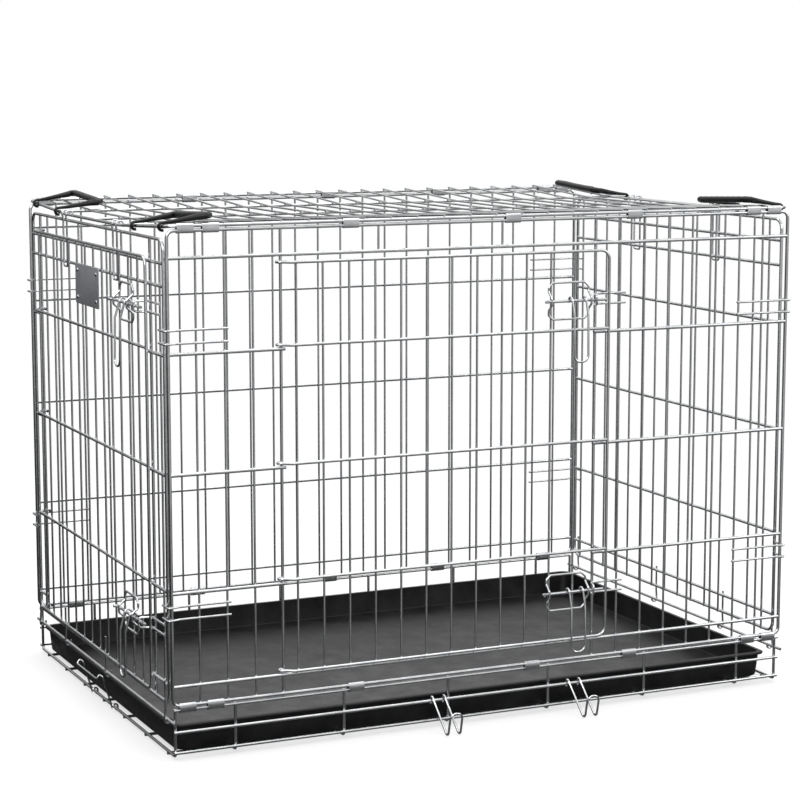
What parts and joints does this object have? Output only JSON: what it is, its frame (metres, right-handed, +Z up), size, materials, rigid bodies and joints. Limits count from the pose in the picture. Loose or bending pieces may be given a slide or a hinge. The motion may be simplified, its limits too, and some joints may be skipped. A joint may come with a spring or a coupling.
{
  "type": "dog crate",
  "caption": "Folding wire dog crate with front and end doors, slide bolts with wire pulls, inward-folding ends, a slide-out plastic tray and hinged carry handles.",
  "frame": {"origin": "on the floor, under the middle of the cage", "axes": "+X along the front from the left end to the right end as seen from the front, +Y from the front panel to the rear panel, +Z up"},
  "size_m": [0.9423, 0.6754, 0.6964],
  "materials": {
    "bright_zinc": "bright zinc plating on drawn wire",
    "black_plastic": "fine grained moulding",
    "grey_steel": "dull pressed sheet"
  },
  "bodies": {
    "base": {"base_frame": "bright_zinc", "front_panel": "bright_zinc", "rear_panel": "bright_zinc", "roof_panel": "bright_zinc", "sleeve_front_low_1": "bright_zinc", "sleeve_front_low_2": "bright_zinc", "sleeve_front_low_3": "bright_zinc", "sleeve_front_low_4": "bright_zinc", "sleeve_front_low_5": "bright_zinc", "sleeve_front_low_6": "bright_zinc", "sleeve_front_low_7": "bright_zinc", "sleeve_front_top_1": "bright_zinc", "sleeve_front_top_2": "bright_zinc", "sleeve_front_top_3": "bright_zinc", "sleeve_front_top_4": "bright_zinc", "sleeve_front_top_5": "bright_zinc", "sleeve_front_top_6": "bright_zinc", "sleeve_front_top_7": "bright_zinc", "sleeve_rear_low_1": "bright_zinc", "sleeve_rear_low_2": "bright_zinc", "sleeve_rear_low_3": "bright_zinc", "sleeve_rear_low_4": "bright_zinc", "sleeve_rear_low_5": "bright_zinc", "sleeve_rear_top_1": "bright_zinc", "sleeve_rear_top_2": "bright_zinc", "sleeve_rear_top_3": "bright_zinc", "sleeve_rear_top_4": "bright_zinc", "sleeve_rear_top_5": "bright_zinc", "sleeve_rear_top_6": "bright_zinc"},
    "tray": {"tray": "black_plastic"},
    "tray_stop": {"tray_stop": "bright_zinc"},
    "front_door": {"front_door": "bright_zinc"},
    "left_end": {"left_end_panel": "bright_zinc"},
    "right_end": {"right_end_panel": "bright_zinc"},
    "end_door": {"end_door": "bright_zinc", "door_plate": "grey_steel"},
    "end_bolt_lower": {"end_bolt_lower": "bright_zinc"},
    "end_bolt_upper": {"end_bolt_upper": "bright_zinc"},
    "end_pull_lower": {"end_pull_lower": "bright_zinc"},
    "end_pull_upper": {"end_pull_upper": "bright_zinc"},
    "fold_hook_left": {"fold_hook_left": "bright_zinc"},
    "fold_hook_right": {"fold_hook_right": "bright_zinc"},
    "front_bolt_lower": {"front_bolt_lower": "bright_zinc"},
    "front_bolt_upper": {"front_bolt_upper": "bright_zinc"},
    "front_pull_lower": {"front_pull_lower": "bright_zinc"},
    "front_pull_upper": {"front_pull_upper": "bright_zinc"},
    "handle_left_front": {"handle_left_front": "black_plastic"},
    "handle_left_rear": {"handle_left_rear": "black_plastic"},
    "handle_right_front": {"handle_right_front": "black_plastic"},
    "handle_right_rear": {"handle_right_rear": "black_plastic"}
  },
  "joints": [
    {"name": "tray_slide", "type": "slide", "parent": "base", "child": "tray", "axis": [-1, 0, 0], "range_m": [0, 0.85]},
    {"name": "tray_stop_turn", "type": "hinge", "parent": "tray", "child": "tray_stop", "pos_m": [-0.4514, -0.0045, 0.0056], "axis": [0, -1, 0], "range_deg": [0, 45]},
    {"name": "front_door_hinge", "type": "hinge", "parent": "base", "child": "front_door", "pos_m": [-0.30333, -0.3011, 0.368], "axis": [0, 0, -1], "range_deg": [0, 120]},
    {"name": "left_end_fold", "type": "hinge", "parent": "base", "child": "left_end", "pos_m": [-0.455, 0, 0.05], "axis": [0, -1, 0], "range_deg": [-90, 0]},
    {"name": "right_end_fold", "type": "hinge", "parent": "base", "child": "right_end", "pos_m": [0.455, 0, 0.05], "axis": [0, 1, 0], "range_deg": [-84, 0]},
    {"name": "end_door_hinge", "type": "hinge", "parent": "left_end", "child": "end_door", "pos_m": [-0.4511, 0.26687, 0.368], "axis": [0, 0, -1], "range_deg": [0, 105]},
    {"name": "front_bolt_upper_slide", "type": "slide", "parent": "front_door", "child": "front_bolt_upper", "axis": [-1, 0, 0], "range_m": [0, 0.02]},
    {"name": "front_pull_upper_swing", "type": "hinge", "parent": "front_bolt_upper", "child": "front_pull_upper", "pos_m": [0.116, -0.317, 0.5645], "axis": [-1, 0, 0], "range_deg": [0, 100]},
    {"name": "end_bolt_upper_slide", "type": "slide", "parent": "end_door", "child": "end_bolt_upper", "axis": [0, 1, 0], "range_m": [0, 0.02]},
    {"name": "end_pull_upper_swing", "type": "hinge", "parent": "end_bolt_upper", "child": "end_pull_upper", "pos_m": [-0.467, -0.175, 0.5735], "axis": [0, 1, 0], "range_deg": [0, 100]},
    {"name": "front_bolt_lower_slide", "type": "slide", "parent": "front_door", "child": "front_bolt_lower", "axis": [-1, 0, 0], "range_m": [0, 0.02]},
    {"name": "front_pull_lower_swing", "type": "hinge", "parent": "front_bolt_lower", "child": "front_pull_lower", "pos_m": [0.116, -0.317, 0.168], "axis": [-1, 0, 0], "range_deg": [0, 100]},
    {"name": "end_bolt_lower_slide", "type": "slide", "parent": "end_door", "child": "end_bolt_lower", "axis": [0, 1, 0], "range_m": [0, 0.02]},
    {"name": "end_pull_lower_swing", "type": "hinge", "parent": "end_bolt_lower", "child": "end_pull_lower", "pos_m": [-0.467, -0.175, 0.164], "axis": [0, 1, 0], "range_deg": [0, 100]},
    {"name": "handle_left_rear_swing", "type": "hinge", "parent": "base", "child": "handle_left_rear", "pos_m": [-0.455, 0.2125, 0.67408], "axis": [0, 0.9987, 0.0512], "range_deg": [-180, 0]},
    {"name": "handle_left_front_swing", "type": "hinge", "parent": "base", "child": "handle_left_front", "pos_m": [-0.455, -0.2365, 0.67531], "axis": [0, 0.9987, -0.0512], "range_deg": [-180, 0]},
    {"name": "handle_right_front_swing", "type": "hinge", "parent": "base", "child": "handle_right_front", "pos_m": [0.455, -0.23, 0.67498], "axis": [0, -0.9987, 0.0512], "range_deg": [-180, 0]},
    {"name": "handle_right_rear_swing", "type": "hinge", "parent": "base", "child": "handle_right_rear", "pos_m": [0.455, 0.195, 0.67318], "axis": [0, -0.9987, -0.0512], "range_deg": [-180, 0]},
    {"name": "fold_hook_left_turn", "type": "hinge", "parent": "base", "child": "fold_hook_left", "pos_m": [-0.0835, -0.305, 0.0372], "axis": [-1, 0, 0], "range_deg": [0, 60]},
    {"name": "fold_hook_right_turn", "type": "hinge", "parent": "base", "child": "fold_hook_right", "pos_m": [0.122, -0.305, 0.0372], "axis": [-1, 0, 0], "range_deg": [0, 60]}
  ]
}
